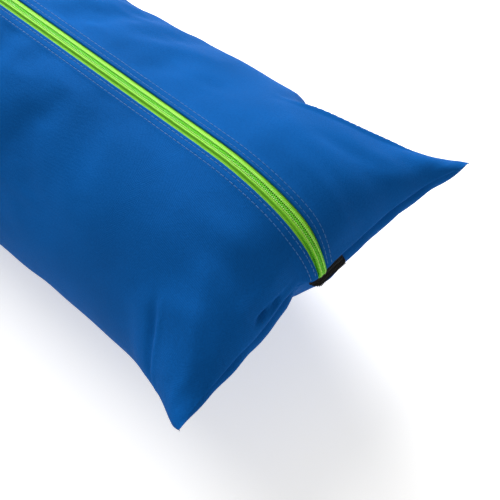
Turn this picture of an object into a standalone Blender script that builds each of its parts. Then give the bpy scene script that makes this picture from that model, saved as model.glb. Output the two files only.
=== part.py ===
# Padded tube carry case for a telescope, closed at both ends by a flat sewn seam.
# Metres, +Z up, +Y along the case and its zipper, origin at the middle of the resting face.
import bpy
import bmesh
import math
from mathutils import Vector

for ob in list(bpy.data.objects):
    bpy.data.objects.remove(ob, do_unlink=True)

# ---- driving dimensions -------------------------------------------------------------
HALF_W = 0.113          # half width of the stuffed body
TOP_Z = 0.205           # height of the body
MID_Z = 0.100           # height of the widest line
SEMI_Z = 0.105          # half height before the belly is flattened by the floor
SEAM_Y = 0.5105         # end seam, from the middle, measured at the zipper
SEAM_Z = 0.1495         # height of the end seam at the zipper
SEAM_HALF_W = 0.152     # half width of the end seam
EAR_Y = 0.011           # how far the seam corners stick out past the seam's middle
EAR_DROP = 0.009        # how far they droop
BEND_Y = 0.411          # where the top starts to come down to the seam
BELLY_Y = 0.350         # where the belly starts to rise to the seam
FLARE_Y = 0.392         # where the sides start to widen to the corners
WINDOW_Y = 0.385        # half length of the opening flaps
HINGE_T = 60.0          # where the flaps fold, degrees round from the top
LIP = 0.0060            # half thickness of the end seam
FABRIC = 0.0012         # outer fabric with its backing
FOAM_IN, FOAM_OUT = 0.0094, 0.0028
LINING_OUT, LINING_IN = 0.0099, 0.0107
ZIP_GAP = 0.00625       # half distance between the folded fabric edges
TAPE_HALF = 0.0165
COIL_HALF = 0.0039
COIL_UP = 0.0013        # height of the coil above the fabric
BAND_Y = 0.120          # middle of each webbing band
WEB_HALF = 0.020        # half width of the webbing
WEB_T = 0.0022
BAND_T = 64.5           # where each band ends, degrees round from the top
FLAP_DEG = 60.0
SLIDER_Y = 0.0125       # middle of a slider at rest
SLIDER_L = 0.0220
HANDLE_Z = 0.1470       # where the handles are sewn to the bands
HANDLE_DROP = 0.100
PULL_UP = 0.0047        # height of the pull's hinge over the fabric


def material(name, rgb, rough=0.8, metal=0.0):
    m = bpy.data.materials.get(name)
    if m is None:
        m = bpy.data.materials.new(name)
        m.use_nodes = True
        b = m.node_tree.nodes["Principled BSDF"]
        b.inputs["Base Color"].default_value = (rgb[0], rgb[1], rgb[2], 1.0)
        b.inputs["Roughness"].default_value = rough
        b.inputs["Metallic"].default_value = metal
    return m


BLUE = material("blue_fabric", (0.022, 0.150, 0.430))
FOAM = material("grey_foam", (0.55, 0.56, 0.58))
LINING = material("dark_lining", (0.030, 0.032, 0.036))
TAPE = material("green_tape", (0.330, 0.700, 0.045))
COIL = material("green_coil", (0.300, 0.720, 0.035), 0.45)
WEB = material("black_webbing", (0.018, 0.017, 0.018))
GRIP = material("black_wrap", (0.028, 0.027, 0.028))
METAL = material("slider_metal", (0.60, 0.61, 0.63), 0.30, 1.0)


def make(name, verts, faces, mat, origin=(0.0, 0.0, 0.0), smooth=True):
    o = Vector(origin)
    me = bpy.data.meshes.new(name)
    me.from_pydata([Vector(v) - o for v in verts], [], faces)
    me.validate()
    bm = bmesh.new()
    bm.from_mesh(me)
    bmesh.ops.remove_doubles(bm, verts=bm.verts[:], dist=1e-6)
    bmesh.ops.triangulate(bm, faces=bm.faces[:])
    bmesh.ops.recalc_face_normals(bm, faces=bm.faces[:])
    if bm.calc_volume(signed=True) < 0:
        bmesh.ops.reverse_faces(bm, faces=bm.faces[:])
    bm.to_mesh(me)
    bm.free()
    for p in me.polygons:
        p.use_smooth = smooth
    me.materials.append(mat)
    ob = bpy.data.objects.new(name, me)
    ob.location = o
    bpy.context.scene.collection.objects.link(ob)
    return ob


# ---- the pillow shape ---------------------------------------------------------------
def ramp(y, start, end):
    return min(1.0, max(0.0, (y - start) / (end - start)))


def end_gap(d):
    """How far a layer at depth d stops short of the end seam."""
    return 2.05 * d if d > 0.0 else 1.6 * d


def section(y, d):
    """Half width, top, middle and belly height of the layer at depth d."""
    y = abs(y)
    last = SEAM_Y - end_gap(d)
    a = HALF_W + (SEAM_HALF_W - HALF_W) * ramp(y, FLARE_Y, last) ** 1.45
    u = ramp(y, BEND_Y, last)
    e = max(0.0012, LIP - 0.55 * d)
    top = SEAM_Z + e + (TOP_Z - SEAM_Z - e) * (1.0 - u ** 1.9) ** 0.42
    v = ramp(y, BELLY_Y, last)
    belly = (SEAM_Z - e) * (1.0 - (1.0 - v ** 1.75) ** 0.72)
    w = ramp(y, BELLY_Y, last)
    mid = MID_Z + (SEAM_Z - MID_Z) * w ** 1.3
    low = belly - (SEMI_Z - MID_Z) * (1.0 - w)
    k = 1.0 - u ** 3
    return a - d * (1.0 + 1.8 * u * u), top - d * k, mid, low + d * (1.0 - v ** 3), belly + d * (1.0 - v ** 3)


def skin(y, col, d, dent=0.0):
    """A point of the layer at depth d. col is ("x", metres) or ("t", degrees, side)."""
    last = SEAM_Y - end_gap(d)
    s = -1.0 if y < 0.0 else 1.0
    ay = abs(y)
    if ay > WINDOW_Y + 0.002:
        ay = WINDOW_Y + 0.002 + (ay - WINDOW_Y - 0.002) * \
            (last - WINDOW_Y - 0.002) / (SEAM_Y - WINDOW_Y - 0.002)
    a, top, mid, low, flat = section(ay, d)
    if col[0] == "x":
        x = col[1]
        z = mid + (top - mid) * math.sqrt(max(0.0, 1.0 - (x / a) ** 2))
    else:
        t = math.radians(col[1])
        if col[1] <= 90.0:
            z = mid + (top - mid) * math.cos(t)
        else:
            z = mid + (mid - low) * math.cos(t)
        x = a * math.sin(t) * col[2]
        if z < flat:
            z = flat
    if dent:
        n = math.hypot(x, z - MID_Z)
        if col[1] > 90.0 and z <= flat + 1e-6:
            z += dent
        else:
            x -= dent * x / n
            z -= dent * (z - MID_Z) / n
            z = max(z, flat + dent)
    u = ramp(ay, BELLY_Y, last)
    k = (x / SEAM_HALF_W) ** 2 * u ** 3
    return (x, s * (ay + EAR_Y * k), z - EAR_DROP * k)


def columns(tops, bottoms):
    """A full ring, clockwise from the top middle, from half lists."""
    right = [c if c[0] == "x" else ("t", c[1], 1.0) for c in tops]
    right += [("t", b, 1.0) for b in bottoms]
    left = [("x", -c[1]) if c[0] == "x" else ("t", c[1], -1.0) for c in tops]
    left += [("t", b, -1.0) for b in bottoms]
    return right + [("t", 180.0, 1.0)] + left[::-1]


def strip(one, two):
    """Triangles between two chains of vertex indices that share neither end."""
    out, i, j = [], 0, 0
    n, m = len(one) - 1, len(two) - 1
    while i < n or j < m:
        if j == m or (i < n and (i + 1) * m <= (j + 1) * n):
            out.append((one[i], one[i + 1], two[j]))
            i += 1
        else:
            out.append((one[i], two[j + 1], two[j]))
            j += 1
    return out


def layer(name, mat, rows, cols, d_out, d_in, keep, ring=False, dent=None, origin=(0, 0, 0),
          capped=False, wobble=None):
    """A closed wall between depths d_out and d_in over the kept cells of a rows by cols grid."""
    nr, nc = len(rows), len(cols)
    verts, faces = [], []
    for depth, side in ((d_out, 0), (d_in, 1)):
        for y in rows:
            for c in cols:
                k = dent(y, c, side) if dent else 0.0
                cc = wobble(y, c) if wobble else c
                verts.append(skin(y, cc, depth, k))

    def at(side, j, i):
        return side * nr * nc + j * nc + (i % nc)
    span = nc if ring else nc - 1
    kept = {(j, i) for j in range(nr - 1) for i in range(span) if keep(j, i)}
    for j, i in kept:
        for side in (0, 1):
            faces.append((at(side, j, i), at(side, j, i + 1),
                          at(side, j + 1, i + 1), at(side, j + 1, i)))
        for dj, di, a, b in ((0, -1, (j, i), (j + 1, i)), (0, 1, (j, i + 1), (j + 1, i + 1)),
                             (-1, 0, (j, i), (j, i + 1)), (1, 0, (j + 1, i), (j + 1, i + 1))):
            ni = (i + di) % nc if ring else i + di
            if (j + dj, ni) in kept:
                continue
            if capped and (j + dj < 0 or j + dj > nr - 2):
                continue
            faces.append((at(0, *a), at(0, *b), at(1, *b), at(1, *a)))
    if capped:
        half = nc // 2          # index of the belly middle
        wide = max(range(half), key=lambda i: abs(verts[i][0]) if i else 0.0)
        for j in (0, nr - 1):
            for side in (0, 1):
                top = [at(side, j, i) for i in range(-wide - 1, wide + 1)]
                low = [at(side, j, i) for i in range(nc - wide - 1, wide - 1, -1)]
                faces += [f for f in strip(top, low) if len(set(f)) == 3]
    used = sorted({v for f in faces for v in f})
    new = {v: n for n, v in enumerate(used)}
    return make(name, [verts[v] for v in used], [tuple(new[v] for v in f) for f in faces],
                mat, origin)


def mirrored(ys):
    return sorted([-y for y in ys if y > 0.0]) + sorted(ys)


OPEN_GAP = 0.0004
GROOVE = 0.0027
END_ROWS = [0.400, 0.411, 0.425, 0.439, 0.452, 0.464, 0.475, 0.485, 0.493, 0.4995, 0.5050, 0.5088,
            SEAM_Y]
OUTER_ROWS = mirrored([0.0, 0.0980, 0.0993, 0.1407, 0.1420, 0.250, 0.350,
                       WINDOW_Y - OPEN_GAP, WINDOW_Y + OPEN_GAP] + END_ROWS)
INNER_ROWS = mirrored([0.0, 0.0980, 0.0993, 0.1407, 0.1420, 0.250, 0.350,
                       WINDOW_Y - OPEN_GAP, WINDOW_Y + OPEN_GAP]
                      + [0.411, 0.439, 0.464, 0.485, 0.4995, SEAM_Y])
FOLD = 0.20
BOTTOMS = [98.0, 106.0, 115.0, 125.0, 136.0, 148.0, 162.5, 170.0]


def shell_cols(edge):
    """Ring columns of a layer whose zipper slot has this half width."""
    tops = [("x", edge)]
    if edge < 0.010:
        tops.append(("x", TAPE_HALF + 0.0003))
    tops += [("t", t, 1.0) for t in (14.0, 24.0, 36.0, 48.0, HINGE_T - FOLD, HINGE_T + FOLD, 62.4,
                                     63.6, 72.0, 81.0, 90.0) if HALF_W * math.sin(math.radians(t))
             > edge + 0.006]
    return columns(tops, BOTTOMS)


def wall_set(tag, mat, rows, edge, d_out, d_in, slot_end, groove):
    """The fixed wall and its two opening flaps, for one layer of the padded wall."""
    cols = shell_cols(edge)
    nc = len(cols)
    fold = [i for i, c in enumerate(cols) if c[0] == "t" and c[1] == HINGE_T - FOLD]
    f_r, f_l = fold[0], fold[1]     # inner edge of the fold line, right then left

    def hit(j, i, y_lim, low, high):
        mid = 0.5 * (rows[j] + rows[j + 1])
        return abs(mid) < y_lim and low <= i < high

    def in_slot(i):
        return i == nc - 1

    def keep_shell(j, i):
        mid = abs(0.5 * (rows[j] + rows[j + 1]))
        if in_slot(i):
            return mid > slot_end
        if i < f_r + 1 or i >= f_l - 1:
            return mid > WINDOW_Y + OPEN_GAP * 0.5
        return True

    def keep_right(j, i):
        return abs(0.5 * (rows[j] + rows[j + 1])) < WINDOW_Y - OPEN_GAP and i < f_r

    def keep_left(j, i):
        return abs(0.5 * (rows[j] + rows[j + 1])) < WINDOW_Y - OPEN_GAP and f_l <= i < nc - 1

    def dent(y, c, side):
        if not groove or c[0] == "x" or c[1] < 63.0:
            return 0.0
        inside = 0.0985 < abs(y) < 0.1415
        return groove[side] if inside else 0.0
    layer(tag + "_shell", mat, rows, cols, d_out, d_in, keep_shell, ring=True, dent=dent,
          capped=True)
    hinge = (HALF_W * math.sin(math.radians(HINGE_T)), 0.0,
             MID_Z + SEMI_Z * math.cos(math.radians(HINGE_T)))
    layer(tag + "_flap_right", mat, rows, cols, d_out, d_in, keep_right, ring=True, origin=hinge)
    layer(tag + "_flap_left", mat, rows, cols, d_out, d_in, keep_left, ring=True,
          origin=(-hinge[0], 0.0, hinge[2]))


wall_set("outer", BLUE, OUTER_ROWS, ZIP_GAP, 0.0, FABRIC, 0.5030, (GROOVE, GROOVE))
wall_set("foam", FOAM, INNER_ROWS, 0.0185, FOAM_OUT, FOAM_IN, 0.4900, (GROOVE, 0.0))
wall_set("lining", LINING, INNER_ROWS, 0.0090, LINING_OUT, LINING_IN, 0.4900, None)


# ---- zipper -------------------------------------------------------------------------
PART_ROWS = [0.0, 0.0240, 0.0275]


def parted(y, c):
    """Zipper edges spread round the slider at rest, and meet in the middle elsewhere."""
    if abs(c[1]) < 0.0015:
        y = abs(y)
        near = 1.0 if y < 0.0245 else 0.0
        side = 1.0 if c[1] > 0.0 else -1.0
        return ("x", side * (abs(c[1]) + 0.0010 * near))
    return c


def zip_strip(name, mat, side, rows, x_in, x_out, d_out, d_in, origin, steps=2):
    xs = [x_in + (x_out - x_in) * n / (steps - 1) for n in range(steps)]
    cols = [("x", side * x) for x in xs]
    layer(name, mat, rows, cols, d_out, d_in, lambda j, i: True, origin=origin, wobble=parted)


HINGE_X = HALF_W * math.sin(math.radians(HINGE_T))
HINGE_Z = MID_Z + SEMI_Z * math.cos(math.radians(HINGE_T))
MIDDLE = mirrored(PART_ROWS + [0.12, 0.25, WINDOW_Y - OPEN_GAP])
ENDING = [WINDOW_Y + OPEN_GAP, 0.400, 0.411, 0.425, 0.439, 0.452, 0.464, 0.475, 0.485, 0.493,
          0.4995]
for word, side in (("left", -1.0), ("right", 1.0)):
    at_hinge = (side * HINGE_X, 0.0, HINGE_Z)
    zip_strip("tape_" + word, TAPE, side, MIDDLE, 0.0003, TAPE_HALF, 0.0015, 0.0022, at_hinge, 3)
    zip_strip("coil_" + word, COIL, side, MIDDLE, 0.0002, COIL_HALF, -COIL_UP, 0.0012, at_hinge)
    for where, sgn in (("near", -1.0), ("far", 1.0)):
        rows = sorted(sgn * y for y in ENDING)
        zip_strip("tape_" + where + "_" + word, TAPE, side, rows, 0.0003, TAPE_HALF,
                  0.0015, 0.0022, (0, 0, 0), 3)
        zip_strip("coil_" + where + "_" + word, COIL, side, rows, 0.0002, COIL_HALF,
                  -COIL_UP, 0.0012, (0, 0, 0))


def prism(points, y0, y1):
    """An XZ outline (millimetres over the fabric) run along Y."""
    n = len(points)
    verts = [(x / 1000.0, y0, TOP_Z + z / 1000.0) for x, z in points]
    verts += [(x / 1000.0, y1, TOP_Z + z / 1000.0) for x, z in points]
    faces = [(i, (i + 1) % n, n + (i + 1) % n, n + i) for i in range(n)]
    return verts, faces + [tuple(range(n))[::-1], tuple(range(n, 2 * n))]


def ring_plate(outer, inner, low, high):
    """A flat plate with one hole; outlines with equal point counts, as (u, v) pairs."""
    n = len(outer)
    verts = [(u, v, low) for u, v in outer] + [(u, v, low) for u, v in inner]
    verts += [(u, v, high) for u, v in outer] + [(u, v, high) for u, v in inner]
    faces = []
    for i in range(n):
        k = (i + 1) % n
        faces += [(i, k, n + k, n + i), (2 * n + i, 2 * n + k, 3 * n + k, 3 * n + i),
                  (i, k, 2 * n + k, 2 * n + i), (n + i, n + k, 3 * n + k, 3 * n + i)]
    return verts, faces


SLIDER_OUTLINE = [(-5.2, 3.0), (5.2, 3.0), (5.7, 2.5), (5.7, -1.1), (4.6, -1.1), (4.6, 1.7),
                  (0.85, 1.7), (0.85, -2.6), (5.7, -2.6), (5.7, -3.9), (-5.7, -3.9), (-5.7, -2.6),
                  (-0.85, -2.6), (-0.85, 1.7), (-4.6, 1.7), (-4.6, -1.1), (-5.7, -1.1),
                  (-5.7, 2.5)]


def slider(word, sgn):
    y_mid = sgn * SLIDER_Y
    verts, faces = prism(SLIDER_OUTLINE, y_mid - SLIDER_L / 2, y_mid + SLIDER_L / 2)
    body = make("slider_" + word, verts, faces, METAL, (0.0, y_mid, TOP_Z), smooth=False)
    outer = [(-4.2, 2.8), (-4.2, 5.6), (-3.0, 7.2), (-1.2, 7.7), (1.2, 7.7), (3.0, 7.2),
             (4.2, 5.6), (4.2, 2.8)]
    inner = [(-2.7, 3.3), (-2.7, 5.0), (-2.2, 5.9), (-0.9, 6.3), (0.9, 6.3), (2.2, 5.9),
             (2.7, 5.0), (2.7, 3.3)]
    v2, f2 = ring_plate(outer, inner, -0.0012, 0.0012)
    v2 = [(h, y_mid + u / 1000.0, TOP_Z + v / 1000.0) for u, v, h in v2]
    bail = make("bail_cutter", v2, f2, METAL, (0.0, y_mid, TOP_Z), smooth=False)
    mod = body.modifiers.new("bail", "BOOLEAN")
    mod.operation = "UNION"
    mod.solver = "EXACT"
    mod.object = bail
    bpy.context.view_layer.update()
    done = bpy.data.meshes.new_from_object(body.evaluated_get(
        bpy.context.evaluated_depsgraph_get()))
    body.modifiers.clear()
    body.data = done
    done.name = "slider_" + word
    bpy.data.objects.remove(bail, do_unlink=True)
    eye_out = [(1.0, -3.6), (-0.8, -3.6), (-0.8, 0.0), (-0.8, 3.6), (1.0, 3.6), (14.0, 3.4),
               (27.0, 4.0), (29.5, 3.0), (30.5, 1.0), (30.5, -1.0), (29.5, -3.0), (27.0, -4.0),
               (14.0, -3.4)]
    eye_in = [(1.0, -1.9), (0.8, -1.9), (0.8, 0.0), (0.8, 1.9), (1.0, 1.9), (4.0, 1.9),
              (5.4, 1.9), (5.5, 1.2), (5.6, 0.5), (5.6, -0.5), (5.5, -1.2), (5.4, -1.9),
              (4.0, -1.9)]
    v3, f3 = ring_plate(eye_out, eye_in, -0.0008, 0.0008)
    pin = (0.0, y_mid, TOP_Z + PULL_UP)
    v3 = [(v / 1000.0, y_mid + sgn * u / 1000.0, pin[2] + h) for u, v, h in v3]
    make("pull_" + word, v3, f3, METAL, pin, smooth=False)


slider("near", -1.0)
slider("far", 1.0)


# ---- webbing ------------------------------------------------------------------------
def band(word, sgn):
    angles = [BAND_T, 72.0, 81.0, 90.0] + BOTTOMS
    cols = [("t", a, 1.0) for a in angles] + [("t", 180.0, 1.0)]
    cols += [("t", a, -1.0) for a in angles[::-1]]
    rows = sorted([sgn * (BAND_Y - WEB_HALF), sgn * (BAND_Y + WEB_HALF)])
    layer("band_" + word, WEB, rows, cols, 0.0, WEB_T, lambda j, i: True,
          dent=lambda y, c, side: 0.0)


band("near", -1.0)
band("far", 1.0)


def end_tab(word, sgn):
    """A short folded webbing tab sewn into the seam at the zipper's end, drooping a little."""
    reach, t = 0.0080, 0.0021
    outline = [(0.0, t), (reach - t, t), (reach - 0.4 * t, 0.7 * t), (reach, 0.0),
               (reach - 0.4 * t, -0.7 * t), (reach - t, -t), (0.0, -t)]
    lean = math.radians(32.0)
    verts, n = [], len(outline)
    for x in (-WEB_HALF, WEB_HALF):
        for u, v in outline:
            a = u * math.cos(lean) - v * math.sin(lean) * 0.6
            b = -u * math.sin(lean) + v
            verts.append((x, sgn * (SEAM_Y + 0.0006 + max(a, 0.0) + EAR_Y * (x / SEAM_HALF_W) ** 2),
                          SEAM_Z + b))
    faces = [(i, (i + 1) % n, n + (i + 1) % n, n + i) for i in range(n)]
    faces += [tuple(range(n)), tuple(range(n, 2 * n))]
    make("end_tab_" + word, verts, faces, WEB)


end_tab("near", -1.0)
end_tab("far", 1.0)


def side_x(z):
    """Half width of the body at this height, with the handle's small standoff."""
    if z <= MID_Z:
        return HALF_W
    return HALF_W * math.sqrt(1.0 - ((z - MID_Z) / SEMI_Z) ** 2)


def sweep(path, section_fn):
    """A closed bar through a list of frames; section_fn gives the corner points of each."""
    rings = [section_fn(*p) for p in path]
    n = len(rings[0])
    verts = [v for r in rings for v in r]
    faces = []
    for j in range(len(rings) - 1):
        for i in range(n):
            k = (i + 1) % n
            faces.append((j * n + i, j * n + k, (j + 1) * n + k, (j + 1) * n + i))
    faces += [tuple(range(n)), tuple(range((len(rings) - 1) * n, len(rings) * n))]
    return verts, faces


def handle_path(steps):
    """Centre line of a hanging handle as (y, z, direction), evenly spaced along its length."""
    fine = []
    for k in range(801):
        a = math.pi * (1.0 - k / 800.0)
        c, s = math.cos(a), math.sin(a)
        fine.append(Vector((-BAND_Y * math.copysign(abs(c) ** 0.62, c),
                            HANDLE_Z - HANDLE_DROP * abs(s) ** 0.62)))
    run = [0.0]
    for a, b in zip(fine, fine[1:]):
        run.append(run[-1] + (b - a).length)
    out, j = [], 0
    for k in range(steps + 1):
        want = run[-1] * k / steps
        while j < 799 and run[j + 1] < want:
            j += 1
        f = (want - run[j]) / (run[j + 1] - run[j])
        out.append(fine[j].lerp(fine[j + 1], f))
    frames = []
    for k, p in enumerate(out):
        d = (out[min(k + 1, steps)] - out[max(k - 1, 0)]).normalized()
        if k in (0, steps):
            d = Vector((0.0, -1.0 if k == 0 else 1.0))
        frames.append((p[0], p[1], d))
    return frames


def handle(word, side):
    hinge = (side * (side_x(HANDLE_Z) + 0.0016), 0.0, HANDLE_Z)

    def web(y, z, d):
        across = Vector((-d[1], d[0]))
        half = WEB_HALF - 0.001
        pts = []
        for k, off in ((-1.0, 0.0009), (1.0, 0.0009), (1.0, 0.0009 + WEB_T), (-1.0, 0.0009 + WEB_T)):
            yy, zz = y + across[0] * half * k, z + across[1] * half * k
            zz = min(zz, HANDLE_Z)
            pts.append((side * (side_x(zz) + off), yy, zz))
        return pts
    verts, faces = sweep(handle_path(36), web)
    make("handle_" + word, verts, faces, WEB, hinge)
    # padded wrap round the middle of the handle: a flat tube
    frames = [f for f in handle_path(40) if abs(f[0]) < 0.062]
    mid_x = side_x(0.0) + 0.0009 + WEB_T / 2
    outer, inner = [], []
    for k in range(16):
        a = 2 * math.pi * k / 16
        c, s = math.cos(a), math.sin(a)
        outer.append((0.0232 * math.copysign(abs(c) ** 0.55, c),
                      0.0058 * math.copysign(abs(s) ** 0.75, s)))
        inner.append((0.0198 * math.copysign(abs(c) ** 0.2, c),
                      0.0017 * math.copysign(abs(s) ** 0.2, s)))
    verts, faces, n = [], [], 16
    for y, z, d in frames:
        across = Vector((-d[1], d[0]))
        for u, v in outer + inner:
            verts.append((side * (mid_x + v), y + across[0] * u, z + across[1] * u))
    m = len(frames)
    for j in range(m - 1):
        for i in range(n):
            k = (i + 1) % n
            for base in (0, n):
                faces.append((j * 2 * n + base + i, j * 2 * n + base + k,
                              (j + 1) * 2 * n + base + k, (j + 1) * 2 * n + base + i))
    for j in (0, m - 1):
        for i in range(n):
            k = (i + 1) % n
            faces.append((j * 2 * n + i, j * 2 * n + k, j * 2 * n + n + k, j * 2 * n + n + i))
    make("grip_" + word, verts, faces, GRIP, hinge)


handle("left", -1.0)
handle("right", 1.0)
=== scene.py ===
# Looks of the padded tube case: shell, opening top panels, zipper, seams, webbing and wraps.
import math

import bmesh
import bpy
import numpy as np
from mathutils import Matrix, Vector


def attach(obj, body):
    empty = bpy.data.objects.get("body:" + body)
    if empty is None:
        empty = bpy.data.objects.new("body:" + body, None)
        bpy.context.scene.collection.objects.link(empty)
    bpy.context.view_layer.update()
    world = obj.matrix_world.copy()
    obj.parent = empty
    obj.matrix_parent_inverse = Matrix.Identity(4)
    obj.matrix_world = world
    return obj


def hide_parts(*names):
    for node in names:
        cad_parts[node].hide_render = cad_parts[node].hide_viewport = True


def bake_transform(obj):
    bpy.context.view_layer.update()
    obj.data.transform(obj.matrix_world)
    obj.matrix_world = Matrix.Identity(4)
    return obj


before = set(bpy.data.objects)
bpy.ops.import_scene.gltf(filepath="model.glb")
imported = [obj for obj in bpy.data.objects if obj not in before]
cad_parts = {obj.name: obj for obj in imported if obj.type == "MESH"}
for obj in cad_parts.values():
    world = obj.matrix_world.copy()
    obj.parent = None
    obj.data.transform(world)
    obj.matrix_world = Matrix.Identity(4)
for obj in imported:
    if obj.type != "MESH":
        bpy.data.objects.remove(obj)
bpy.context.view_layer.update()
scene = bpy.context.scene

# ---- sizes, in metres ---------------------------------------------------------------
HALF_W, MID_Z, SEMI_Z = 0.113, 0.100, 0.105     # body: half width, widest line, half height
END = 0.540                 # length of half the case along its top, middle to seam
FOLD_T = 60.0               # degrees round from the top where a panel folds back
EDGE_X = 0.00625            # folded fabric edge, from the zipper's middle
ROW_X = (0.0092, 0.0138)    # the two rows of topstitching
WALL = 0.0102               # fabric, foam and lining together
PITCH = 0.00154             # zipper teeth
BAND_Y, WEB_HALF, WEB_T = 0.120, 0.020, 0.0022     # webbing: band's middle, half width, thickness
HANDLE_Z, HANDLE_DROP = 0.147, 0.100    # where the handles are sewn on, how far they hang
ENDS = (("near", -1.0), ("far", 1.0))
REST_SOFT = 0.0025          # how gently the belly rounds off where it meets the floor
FLOOR_GAP = 0.0004          # the cloth stays this far above the floor
SOFT_FRAMES, SOFT_CAP = 18, 0.0018     # length of the cloth simulation, tallest pucker kept
SOFT_BLUR = 36              # rounds of blurring that tell puckers from broad shape
BAND_T = 64.5               # where a band ends, degrees round from the top
THREAD_PITCH = 0.0037       # stitches along webbing
RIBBON_T, RIB_PITCH = 0.0009, 0.00135  # end tab: cloth thickness, distance between ribs
GRIP_HALF = 0.0620          # half length of a handle's padded wrap
GRIP_SIDES = 56             # points round a wrap


# ---- small helpers ------------------------------------------------------------------
def clear_selection():
    if bpy.context.object and bpy.context.object.mode != "OBJECT":
        bpy.ops.object.mode_set(mode="OBJECT")
    bpy.ops.object.select_all(action="DESELECT")


def only(ob):
    clear_selection()
    ob.select_set(True)
    bpy.context.view_layer.objects.active = ob


def named(name):
    ob = bpy.context.object
    ob.name = name
    ob.data.name = name
    return ob


def smooth_step(x, a, b):
    t = np.clip((np.asarray(x, float) - a) / (b - a), 0.0, 1.0)
    return t * t * (3.0 - 2.0 * t)


def hump(x, middle, width):
    return np.exp(-((np.asarray(x, float) - middle) / width) ** 2)


def runs_of(points):
    """Distances along a path of points, from its first one."""
    return np.concatenate([[0.0], np.cumsum(np.linalg.norm(np.diff(points, axis=0), axis=1))])


def columns_at(at, run, values):
    """Each column of values, read off at these distances."""
    return np.stack([np.interp(at, run, values[:, k]) for k in range(values.shape[1])], -1)


def unit(vectors):
    return vectors / np.linalg.norm(vectors, axis=-1, keepdims=True)


def curve_through(knots, values, at):
    """A smooth curve through values at knots, with no overshoot between equal values."""
    k, v = np.array(knots, float), np.array(values, float)
    d = np.diff(v) / np.diff(k)
    m = np.zeros(len(k))
    m[0], m[-1] = d[0], d[-1]
    for i in range(1, len(k) - 1):
        h0, h1 = k[i] - k[i - 1], k[i + 1] - k[i]
        m[i] = 0.0 if d[i - 1] == 0 or d[i] == 0 else (d[i - 1] * h1 + d[i] * h0) / (h0 + h1)
    x = np.clip(np.asarray(at, float), k[0], k[-1])
    i = np.clip(np.searchsorted(k, x) - 1, 0, len(k) - 2)
    h = k[i + 1] - k[i]
    t = (x - k[i]) / h
    return ((2 * t ** 3 - 3 * t ** 2 + 1) * v[i] + (t ** 3 - 2 * t ** 2 + t) * h * m[i]
            + (-2 * t ** 3 + 3 * t ** 2) * v[i + 1] + (t ** 3 - t ** 2) * h * m[i + 1])


# ---- the stuffed shape: three rails per half, joined by elliptic arcs ----------------
TOP_S = (0.0, 0.385, 0.411, 0.429, 0.446, 0.463, 0.479, 0.495, 0.5125, 0.5250, 0.5335, END)
TOP_Y = (0.0, 0.385, 0.411, 0.429, 0.446, 0.462, 0.477, 0.491, 0.5040, 0.5102, 0.5124, 0.5088)
TOP_H = (0.205, 0.205, 0.2048, 0.204, 0.2015, 0.1977, 0.1925, 0.185, 0.1722, 0.1602, 0.1512, 0.1478)
LOW_S = (0.0, 0.330, 0.360, 0.385, 0.410, 0.435, 0.460, 0.485, 0.505, 0.520, 0.530, 0.5362, END)
LOW_Y = (0.0, 0.330, 0.3585, 0.382, 0.405, 0.428, 0.451, 0.474, 0.4930, 0.505, 0.5122, 0.5136, 0.5088)
LOW_H = (0.0, 0.0, 0.0015, 0.007, 0.017, 0.031, 0.0495, 0.074, 0.0985, 0.1180, 0.1330, 0.1425, 0.1478)
SIDE_S = (0.0, 0.200, 0.330, 0.385, 0.410, 0.435, 0.460, 0.485, 0.505, 0.520, 0.530, 0.536, END)
SIDE_W = (0.113, 0.113, 0.1145, 0.1165, 0.1185, 0.1215, 0.1265, 0.1332, 0.1408, 0.1490, 0.1540,
          0.1564, 0.1570)
SIDE_Y = (0.0, 0.200, 0.330, 0.385, 0.4075, 0.430, 0.4525, 0.4745, 0.4932, 0.5084, 0.5188, 0.5240, 0.5268)
SIDE_H = (0.100, 0.100, 0.100, 0.103, 0.106, 0.1105, 0.1165, 0.1235, 0.1300, 0.1350, 0.1382, 0.1396, 0.1405)


def shell_points(s, q, low):
    """Points at stations s (signed) and columns q = x over half width; low marks belly columns.
    s is (n, 1); q and low are (1, m) or (n, m)."""
    a = np.abs(s)
    w = curve_through(SIDE_S, SIDE_W, a)
    ys, zs = curve_through(SIDE_S, SIDE_Y, a), curve_through(SIDE_S, SIDE_H, a)
    yt, zt = curve_through(TOP_S, TOP_Y, a), curve_through(TOP_S, TOP_H, a)
    yb, zb = curve_through(LOW_S, LOW_Y, a), curve_through(LOW_S, LOW_H, a)
    sag = (SEMI_Z - MID_Z) * (1.0 - smooth_step(a, 0.33, 0.50))
    c = np.sqrt(np.clip(1.0 - q * q, 0.0, 1.0))
    x = w * q
    y = np.where(low, ys + (yb - ys) * c, ys + (yt - ys) * c)
    z_top = zs + (zt - zs) * c
    z_low = zs + (zb - sag - zs) * c
    # the belly is flat where it rests
    over = z_low - zb
    rest = zb + 0.5 * (over + np.sqrt(over * over + REST_SOFT * REST_SOFT))
    lying = (1.0 - smooth_step(a, 0.36, 0.46)) * (c > 0.35)
    z_low = z_low + (rest - z_low) * lying
    z = np.where(low, z_low, z_top)
    return x, y * np.sign(np.where(s == 0, 1.0, s)), z


def station_list():
    half = list(np.arange(0.0, 0.393, 0.0055)) + list(np.arange(0.396, 0.500, 0.0030))
    half += list(np.arange(0.500, 0.524, 0.0016)) + [0.5252, 0.5276, 0.5298, 0.5318, 0.5335, 0.5350,
                                                     0.5364, 0.5378, 0.5390, END]
    return np.array([-v for v in half[:0:-1]] + half)


STATIONS = station_list()
NEAR_EDGE = [EDGE_X, 0.00632, 0.0067, 0.0078, 0.0087, ROW_X[0], 0.0097, 0.0112, 0.0127, 0.0133,
             ROW_X[1], 0.0143, 0.0155, 0.0175, 0.0205]
PANEL_T = list(np.arange(13.0, FOLD_T - 0.6, 1.18)) + [FOLD_T]
WALL_T = [FOLD_T + 1.2 * k for k in range(1, 41)] + [FOLD_T + 2.4 * k for k in range(21, 50)]


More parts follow.
